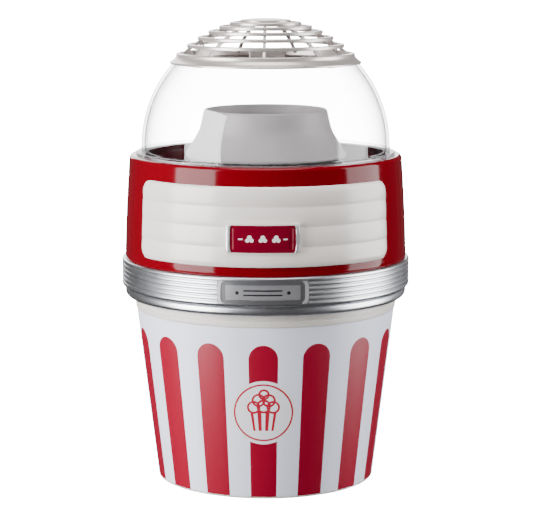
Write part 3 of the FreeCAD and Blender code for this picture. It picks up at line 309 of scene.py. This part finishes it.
CAD_FINISH = {
    "name_plate_ends": "chrome", "badge_caps": "chrome", "popping_chamber": "alloy", "heater_can": "steel",
    "heater_frame": "mica", "heater_coil": "wire", "thermostat": "steel", "thermal_fuse": "brass",
    "drop_duct": "maroon", "base_plate": "black", "base_screws": "steel", "pod_housing": "black",
    "pod_cover": "black", "pod_cover_screws": "steel", "motor_plate": "steel", "motor_plate_screws": "steel",
    "motor_screws": "steel", "motor_can": "steel", "motor_end_cap": "black", "motor_magnets": "ferrite",
    "motor_brushes": "ferrite", "motor_armature": "iron", "commutator": "copper", "motor_shaft": "steel",
    "fan_impeller": "white", "rectifier_board": "green", "rectifier_diodes": "black",
    "switch_housing": "black",
    "switch_rocker": "black", "switch_terminals": "brass", "cord_gland": "black", "gland_nut": "black",
    "name_plate": "dark",
}
for node, finish in CAD_FINISH.items():
    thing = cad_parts[node]
    for i in range(max(1, len(thing.material_slots))):
        if thing.material_slots:
            thing.material_slots[i].material = M[finish]
        else:
            thing.data.materials.append(M[finish])


# Shapes

def arc(cx, cz, radius, start, end, steps=10):
    """Points on a circle in the (radius, height) plane between two angles in degrees."""
    out = []
    for i in range(steps + 1):
        a = math.radians(start + (end - start) * i / steps)
        out.append((cx + radius * math.cos(a), cz + radius * math.sin(a)))
    return out


def soften(points, radii):
    """Rounds the corners of a closed outline; radii maps a corner's number to its rounding."""
    out = []
    count = len(points)
    for i, here in enumerate(points):
        size = radii.get(i, 0)
        if not size:
            out.append(here)
            continue
        p = Vector(here)
        a = Vector(points[i - 1]) - p
        b = Vector(points[(i + 1) % count]) - p
        size = min(size, a.length * 0.49, b.length * 0.49)
        first, last = p + a.normalized() * size, p + b.normalized() * size
        for k in range(7):
            f = k / 6
            q = first * (1 - f) ** 2 + p * 2 * f * (1 - f) + last * f ** 2
            out.append((q.x, q.y))
    return out


def to_object(name, verts, faces, material, smooth=35):
    mesh = bpy.data.meshes.new(name)
    mesh.from_pydata([(x * MM, y * MM, z * MM) for x, y, z in verts], [], faces)
    mesh.validate()
    work = bmesh.new()
    work.from_mesh(mesh)
    bmesh.ops.remove_doubles(work, verts=work.verts, dist=1e-7)
    bmesh.ops.recalc_face_normals(work, faces=work.faces)
    work.to_mesh(mesh)
    work.free()
    thing = bpy.data.objects.new(name, mesh)
    bpy.context.scene.collection.objects.link(thing)
    mesh.materials.append(material)
    mesh.polygons.foreach_set("use_smooth", [True] * len(mesh.polygons))
    mesh.set_sharp_from_angle(angle=math.radians(smooth))
    return thing


def lathe(name, profile, material, segments=256, smooth=35):
    """Turns a closed outline of (radius, height) points about the Z axis."""
    verts = []
    for i in range(segments):
        a = 2 * math.pi * i / segments
        verts += [(r * math.sin(a), -r * math.cos(a), z) for r, z in profile]
    n = len(profile)
    faces = []
    for i in range(segments):
        after = (i + 1) % segments
        for k in range(n):
            m = (k + 1) % n
            faces.append((i * n + k, after * n + k, after * n + m, i * n + m))
    return to_object(name, verts, faces, material, smooth)


def join(name, things):
    bpy.ops.object.select_all(action="DESELECT")
    for thing in things:
        thing.select_set(True)
    bpy.context.view_layer.objects.active = things[0]
    bpy.ops.object.join()
    things[0].name = name
    return things[0]


def stand_for(thing, node, body):
    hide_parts(node)
    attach(thing, body)
    return thing


# Bucket and printed sleeve

def sleeve_at(z):
    return 83.0 + (99.1 - 83.0) / 132.3 * z


bucket = lathe("bucket_look", soften([
    (0.01, 3.0), (78.0, 3.0), (79.0, 0.0), (83.0, 0.0), (83.2, 1.3), (82.4, 1.3),
    (sleeve_at(132.3) - 0.8, 132.3),
    (99.6, 132.3), (100.0, 136.1), (99.3, 136.4), (99.3, 136.8), (99.7, 137.1), (99.7, 150.0), (97.6, 150.0),
    (96.2, 132.3), (80.7, 5.1), (0.01, 5.1),
], {1: 1, 2: .8, 3: .8, 7: .6, 8: .3, 11: .3, 12: .9, 13: .9, 15: 5}), M["bucket"])
stand_for(bucket, "bucket", "bucket_body")
sleeve = lathe("sleeve_look", soften([
    (sleeve_at(1.6) - 0.5, 1.6), (sleeve_at(1.6), 1.6), (sleeve_at(132.0), 132.0),
    (sleeve_at(132.0) - 0.5, 132.0),
], {1: .2, 2: .2}), M["sleeve"])
stand_for(sleeve, "stripe_sleeve", "bucket_body")

# Silver ring

ring_profile = [(100.6, 141.5)] + arc(104.0, 145.0, 3.5, -90, 0, 10) + arc(104.6, 146.2, 2.9, 5, 62, 8)
ring_profile += [(105.7, 148.9), (105.8, 149.3), (108.6, 149.35)]
for rib in range(6):
    low = 149.7 + 3.5 * rib
    for k in range(9):
        f = k / 8
        ring_profile.append((109.0 + 0.98 * math.sin(math.pi * f) ** 0.7, low + 0.12 + 3.26 * f))
ring_profile += [(108.4, 170.7), (105.2, 170.7), (105.2, 153.4), (103.2, 153.4),
                 (103.2, 144.5), (100.6, 143.5)]
stand_for(lathe("ring_look", ring_profile, M["silver"], 288, 40), "trim_ring", "popping_unit")


# Plates that wrap around the machine

def rounded_outline(half, low, high, corner, bow=0.0, steps=8):
    """A rounded oblong in (arc length, height), its long edges bowed outwards."""
    def edge(x):
        return bow * (1 - (x / half) ** 2)
    points = []
    for cx, cz, start in ((half - corner, high - corner, 0), (-half + corner, high - corner, 90),
                          (-half + corner, low + corner, 180), (half - corner, low + corner, 270)):
        for i in range(steps + 1):
            a = math.radians(start + 90 * i / steps)
            points.append((cx + corner * math.cos(a), cz + corner * math.sin(a)))
    mid = (low + high) / 2
    return [(x, z + edge(x) * (1 if z > mid else -1)) for x, z in points]


def bent_plate(name, outline, back, face, material, round_edge=0.3, reference=110.0, taper=0.0):
    """An outline in (arc length, height) given thickness and bent around the Z axis."""
    work = bmesh.new()
    bottom = [work.verts.new((x, -back, z)) for x, z in outline]
    base = work.faces.new(bottom)
    made = bmesh.ops.extrude_face_region(work, geom=[base])
    for v in made["geom"]:
        if isinstance(v, bmesh.types.BMVert):
            v.co.y = -face
    rim = [e for e in work.edges if all(abs(v.co.y + face) < 1e-6 for v in e.verts)]
    if round_edge:
        bmesh.ops.bevel(work, geom=rim, offset=round_edge, segments=3, affect="EDGES", profile=0.5)
    xs = [x for x, _ in outline]
    x = math.ceil(min(xs))
    while x < max(xs):
        bmesh.ops.bisect_plane(work, geom=work.verts[:] + work.edges[:] + work.faces[:],
                               plane_co=(x, 0, 0), plane_no=(1, 0, 0))
        x += 1.0
    mean = sum(z for _, z in outline) / len(outline)
    verts = []
    for v in work.verts:
        v.index = len(verts)
        a = v.co.x / reference
        r = -v.co.y - taper * (v.co.z - mean)
        verts.append((r * math.sin(a), -r * math.cos(a), v.co.z))
    faces = [[v.index for v in f.verts] for f in work.faces]
    work.free()
    return to_object(name, verts, faces, material, 30)


name_back = bent_plate("name_look", rounded_outline(33.4, 151.2, 168.7, 1.6), 110.1, 110.95, M["dark"])
name_mid = bent_plate("name_field", rounded_outline(27.0, 154.6, 165.4, 0.8), 110.8, 111.15,
                      M["steel_mid"], 0.15)
stand_for(join("name_look", [name_back, name_mid]), "name_plate", "popping_unit")


def bracket(side):
    """A bright end piece: tall, with its outer edge bowed and tips that turn inwards."""
    outer, inner = [], []
    for i in range(13):
        f = i / 12 * 2 - 1
        z = 159.95 + f * 8.3
        outer.append((side * (33.0 - 1.5 * abs(f) ** 4), z))
        inner.append((side * (30.6 - 2.6 * abs(f) ** 5), z))
    return outer + inner[::-1]


ends = [bent_plate(f"name_end_{i}", bracket(side), 110.9, 111.6, M["chrome"], 0.2)
        for i, side in enumerate((-1, 1))]
stand_for(join("name_ends_look", ends), "name_plate_ends", "popping_unit")

# Red shell


def barrel(z):
    f = (z - 171.0) / (246.1 - 171.0)
    return 107.5 + (103.7 - 107.5) * f + 0.5 * 4 * f * (1 - f)


side = [(barrel(171.6 + 74.0 * i / 24), 171.6 + 74.0 * i / 24) for i in range(25)]
shell = lathe("shell_look", [(104.9, 153.7), (104.9, 171.0), (107.2, 171.0)] + side
              + arc(100.75, 246.15, 2.95, 3, 90, 10)
              + [(96.4, 249.1), (96.0, 248.8), (96.0, 246.6), (101.2, 246.6),
                 (105.0, 173.5), (102.4, 173.0), (102.4, 153.7)],
              M["red"], 288, 32)


def block(x, y, z, bevel=0.0):
    """A plain cutting block."""
    verts = [(a, b, c) for a in x for b in y for c in z]
    faces = [(0, 1, 3, 2), (4, 6, 7, 5), (0, 4, 5, 1), (2, 3, 7, 6), (0, 2, 6, 4), (1, 5, 7, 3)]
    thing = to_object("cutter", verts, faces, M["red"])
    if bevel:
        grow = thing.modifiers.new("round", "BEVEL")
        grow.width = bevel * MM
        grow.segments = 4
    return thing


def back_rod(radius, near, far, x, z, segments=48):
    verts = []
    for y in (near, far):
        for i in range(segments):
            a = 2 * math.pi * i / segments
            verts.append((x + radius * math.cos(a), y, z + radius * math.sin(a)))
    faces = [(i, (i + 1) % segments, segments + (i + 1) % segments, segments + i) for i in range(segments)]
    faces += [tuple(range(segments)), tuple(range(segments, 2 * segments))]
    return to_object("cutter", verts, faces, M["red"])


def combine(thing, tool, kind):
    step = thing.modifiers.new(kind, "BOOLEAN")
    step.operation = kind
    step.object = tool
    step.solver = "EXACT"
    bpy.context.view_layer.objects.active = thing
    bpy.ops.object.modifier_apply(modifier=step.name)
    bpy.data.objects.remove(tool)


def bake(thing):
    bpy.context.view_layer.objects.active = thing
    for step in list(thing.modifiers):
        bpy.ops.object.modifier_apply(modifier=step.name)
    return thing


combine(shell, bake(block((-34, 34), (99, 107.2), (176, 209), 1.0)), "UNION")
combine(shell, block((-31.5, 31.5), (80, 104.7), (178.5, 206.5)), "DIFFERENCE")
for i in range(5):
    low = 215.0 + 6.0 * i
    combine(shell, block((-30, 30), (90, 112), (low, low + 2.6)), "DIFFERENCE")
combine(shell, block((-23.5, -10.5), (90, 112), (182.8, 202.2)), "DIFFERENCE")
combine(shell, back_rod(6.3, 90, 112, 17, 192.5), "DIFFERENCE")
shell.data.set_sharp_from_angle(angle=math.radians(32))
stand_for(shell, "body_shell", "popping_unit")

# Cream front panel with four flutes


def flute(z):
    """How far the panel's face stands out at a height."""
    f = ((z - 177.7) / 14.525) % 1.0
    return 1.0 * (1 - (2 * f - 1) ** 2)


def front_panel():
    low, high, corner, half = 177.7, 235.8, 9.0, 56.8 * math.pi / 180 * 108.0
    heights = [low, low + .05, low + .2, low + .5, low + .9]
    z = low + 1.4
    while z < high - 1.3:
        heights.append(z)
        z += 0.45
    heights += [high - .9, high - .5, high - .2, high - .05, high]
    columns = [0, .0004, .0015, .004, .007, .011] + [0.016 + 0.968 * i / 150 for i in range(151)]
    columns += [.989, .993, .996, .9985, .9996, 1]
    verts, faces = [], []
    for z in heights:
        near = min(z - low, high - z)
        cut_in = corner - math.sqrt(max(0.0, corner ** 2 - max(0.0, corner - near) ** 2))
        reach = half - cut_in
        for c in columns:
            s = (2 * c - 1) * reach
            edge = min(near, (half - abs(s)) if near > corner else 99, (1 - abs(2 * c - 1)) * reach)
            drop = 1.5 * (1 - math.sqrt(max(0.0, 1 - max(0.0, 1 - edge / 1.5) ** 2)))
            lean = 2.1 * (z - low) / (high - low)
            r = 107.75 + 1.25 - lean + flute(z) * min(1, edge / 3) - drop
            a = s / 108.0
            verts.append((r * math.sin(a), -r * math.cos(a), z))
    n, rows = len(columns), len(heights)
    for j in range(rows - 1):
        for i in range(n - 1):
            faces.append((j * n + i, j * n + i + 1, (j + 1) * n + i + 1, (j + 1) * n + i))
    border = [i for i in range(n)] + [j * n + n - 1 for j in range(1, rows)]
    border += [(rows - 1) * n + i for i in range(n - 2, -1, -1)] + [j * n for j in range(rows - 2, 0, -1)]
    base = len(verts)
    for k in border:
        x, y, z = verts[k]
        a = math.atan2(x, -y)
        r = 107.75 - 2.1 * (z - low) / (high - low)
        verts.append((r * math.sin(a), -r * math.cos(a), z))
    count = len(border)
    for k in range(count):
        m = (k + 1) % count
        faces.append((border[k], base + k, base + m, border[m]))
    back = [base + k for k in range(count)]
    lower, upper = back[:n], back[n - 1 + rows - 1:n - 1 + rows - 1 + n]
    for i in range(n - 1):
        faces.append((lower[i + 1], lower[i], upper[n - 1 - i], upper[n - 2 - i]))
    return to_object("panel_look", verts, faces, M["cream"], 30)


stand_for(front_panel(), "front_panel", "popping_unit")
surround = bent_plate("surround_look", rounded_outline(27.5, 187.9, 210.0, 1.4, 0.7), 108.6, 110.6,
                      M["cream"], 0.6, 110)
stand_for(surround, "badge_surround", "popping_unit")
enamel = bent_plate("enamel_look", rounded_outline(26.2, 189.2, 208.7, 1.0, 0.7), 110.2, 111.3,
                    M["enamel"], 0.5, 110)
line = bent_plate("enamel_line", rounded_outline(19.0, 193.2, 204.8, 2.0, 0.5), 111.0, 111.55,
                  M["enamel"], 0.2, 110)
stand_for(join("enamel_look", [enamel, line]), "badge_plate", "popping_unit")
caps = []
for i, way in enumerate((-1, 1)):
    outer, inner = [], []
    for k in range(13):
        f = k / 12 * 2 - 1
        z = 198.95 + f * 10.0
        outer.append((way * (26.3 - 0.8 * abs(f) ** 4), z))
        inner.append((way * (23.7 - 1.2 * abs(f) ** 5), z))
    caps.append(bent_plate(f"cap_{i}", outer + inner[::-1], 110.9, 112.0, M["chrome"], 0.25, 110))
stand_for(join("caps_look", caps), "badge_caps", "popping_unit")

# Collar, dome and grille

flare = [(61.5, 247.2), (61.5, 248.9), (58.4, 253.6), (55.3, 258.6), (52.7, 263.0),
         (50.9, 266.4), (49.6, 270.2),
         (48.6, 274.5), (47.6, 279.0), (46.9, 282.0)]
fine = []
for i in range(len(flare) - 1):
    p0, p1, p2, p3 = (flare[max(0, i - 1)], flare[i], flare[i + 1], flare[min(len(flare) - 1, i + 2)])
    for k in range(6):
        t = k / 6
        fine.append(tuple(0.5 * ((2 * p1[c]) + (p2[c] - p0[c]) * t
                                 + (2 * p0[c] - 5 * p1[c] + 4 * p2[c] - p3[c]) * t * t
                                 + (3 * p1[c] - p0[c] - 3 * p2[c] + p3[c]) * t ** 3) for c in (0, 1)))
collar = lathe("collar_look", fine + arc(45.8, 281.8, 1.0, 10, 180, 8)
               + [(44.8, 251.5), (47.0, 251.5), (47.0, 266.0), (48.6, 265.6), (59.3, 249.4), (59.3, 247.0)],
               M["collar"])
stand_for(collar, "popping_collar", "popping_unit")

inner = 92.3
rise = math.degrees(math.acos(66.0 / 94.5))
rise_in = math.degrees(math.acos(66.0 / inner))
dome = lathe("dome_look", soften([(91.4, 249.4), (98.5, 249.4), (98.5, 251.4), (94.7, 251.4)], {1: .5, 2: .8})
             + arc(0, 255.0, 94.5, 0, rise, 48) + arc(0, 255.0, inner, rise_in, 0, 48)
             + [(inner, 251.6), (89.4, 251.4), (89.4, 245.4), (91.4, 245.4)], M["clear"], 256, 30)
stand_for(dome, "dome_cover", "dome_lid")


def on_sphere(r, size):
    return 255.0 + math.sqrt(size ** 2 - r ** 2)


parts = []
top = on_sphere(67.7, 97.3) + 0.6
parts.append(lathe("grille_0", soften([
    (71.5, 317.6), (72.6, 317.6), (72.4, 319.0), (70.2, 320.3), (68.6, 321.9),
    (67.9, top - 2.6), (67.7, top - 0.2),
    (64.5, top + 0.3), (64.5, top - 5.2), (65.7, top - 6.2), (65.7, 323.0), (68.0, 321.4),
], {1: .4, 2: .5, 3: 1, 6: .7, 7: .6}), M["grille"], 192, 40))
for i in range(1, 6):
    edge = 67.7 - 8.1 * i
    top = on_sphere(edge, 97.3) + 0.4
    parts.append(lathe(f"grille_{i}", soften([
        (edge, top - 2.7), (edge, top - 0.1), (edge - 3.2, top + 0.2), (edge - 3.2, top - 2.5),
    ], {0: .4, 1: .9, 2: .8, 3: .4}), M["grille"], 160, 40))
edge = 67.7 - 8.1 * 6
top = on_sphere(edge, 97.3)
parts.append(lathe("grille_disc", [(0.01, top - 2.4)] + soften([
    (edge, top - 2.4), (edge, top), (edge - 3, top + 0.3), (edge - 8, top + 0.8),
], {0: .4, 1: .8}) + [(0.01, top + 1.0)], M["grille"], 128, 40))
for i in range(9):
    a = math.radians(360 * i / 9)
    verts, faces = [], []
    steps = 24
    for k in range(steps + 1):
        r = 12.0 + (65.2 - 12.0) * k / steps
        for size in (95.1, 92.7):
            for w in (-1.2, -0.8, 0.8, 1.2):
                z = on_sphere(r, size - (0.35 if abs(w) > 1 else 0) * (1 if size > 94 else -1))
                verts.append((r * math.sin(a) + w * math.cos(a), -r * math.cos(a) + w * math.sin(a), z))
    loop = [0, 1, 2, 3, 7, 6, 5, 4]
    for k in range(steps):
        for m in range(8):
            p, q = loop[m], loop[(m + 1) % 8]
            faces.append((k * 8 + p, k * 8 + q, k * 8 + 8 + q, k * 8 + 8 + p))
    faces += [tuple(loop), tuple(steps * 8 + m for m in loop)]
    parts.append(to_object(f"rib_{i}", verts, faces, M["grille"], 40))
for turn in (60, 180, 300):
    a = math.radians(turn)
    tab = block((-14, 14), (60.6, 63.9), (316.4, 323.2), 0.8)
    tab = bake(tab)
    for v in tab.data.vertices:
        x, y = v.co.x, v.co.y
        v.co.x, v.co.y = (x * math.cos(a + math.pi) - y * math.sin(a + math.pi),
                          x * math.sin(a + math.pi) + y * math.cos(a + math.pi))
    tab.data.materials[0] = M["grille"]
    parts.append(tab)
stand_for(join("grille_look", parts), "vent_grille", "dome_lid")

# Floor, light and camera


def plain(name, colour, glow=0.0):
    material = finish_of(name, colour, 0.6, bump=0.0, spread=0.01)
    shader = material.node_tree.nodes["Principled BSDF"]
    shader.inputs["Emission Color"].default_value = (1, 1, 1, 1)
    shader.inputs["Emission Strength"].default_value = glow
    return material


def sheet_of(name, corners, material):
    mesh = bpy.data.meshes.new(name)
    mesh.from_pydata(corners, [], [(0, 1, 2, 3)])
    thing = bpy.data.objects.new(name, mesh)
    mesh.materials.append(material)
    bpy.context.scene.collection.objects.link(thing)
    thing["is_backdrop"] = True
    return thing


floor = sheet_of("floor", [(-4, -3, -0.0004), (4, -3, -0.0004), (4, 4, -0.0004), (-4, 4, -0.0004)],
                 plain("floor_white", (0.9, 0.9, 0.9), 24.0))
wall = sheet_of("wall", [(-6, 4, -1), (6, 4, -1), (6, 4, 5), (-6, 4, 5)],
                plain("wall_white", (0.9, 0.9, 0.9), 24.0))
for backdrop in (floor, wall):
    backdrop.visible_glossy = False
    backdrop.visible_diffuse = False

world = bpy.data.worlds.new("studio")
bpy.context.scene.world = world
world.use_nodes = True
world.node_tree.nodes["Background"].inputs[0].default_value = (1, 1, 1, 1)
world.node_tree.nodes["Background"].inputs[1].default_value = 0.07


def soft_box(name, azimuth, distance, height, width, tall, power):
    """A tall soft light aimed at the middle of the machine."""
    data = bpy.data.lights.new(name, "AREA")
    data.shape = "RECTANGLE"
    data.size, data.size_y = width, tall
    data.energy = power
    thing = bpy.data.objects.new(name, data)
    bpy.context.scene.collection.objects.link(thing)
    a = math.radians(azimuth)
    thing.location = (distance * math.sin(a), -distance * math.cos(a), height)
    aim = Vector((0, 0, 0.18)) - thing.location
    thing.rotation_mode = "QUATERNION"
    thing.rotation_quaternion = aim.to_track_quat("-Z", "Y")
    thing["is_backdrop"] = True
    return thing


soft_box("left_box", -58, 1.5, 0.35, 1.0, 1.5, 84)
soft_box("right_box", 88, 1.5, 0.35, 1.0, 1.5, 50)
soft_box("top_box", 0, 0.3, 1.9, 1.2, 1.2, 30)
soft_box("back_box", 190, 1.9, 0.9, 1.4, 1.2, 26)

camera_data = bpy.data.cameras.new("camera")
camera_data.lens = 139.2
camera_data.sensor_width = 36.0
camera_data.shift_x = 0.0017
camera = bpy.data.objects.new("camera", camera_data)
bpy.context.scene.collection.objects.link(camera)
turn = math.radians(1.0)
camera.location = (1.5658 * math.sin(turn), -1.5658 * math.cos(turn), 0.416)
camera.rotation_mode = "QUATERNION"
camera.rotation_quaternion = (Vector((0, 0, 0.1699)) - camera.location).to_track_quat("-Z", "Y")
bpy.context.scene.camera = camera

low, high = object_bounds()
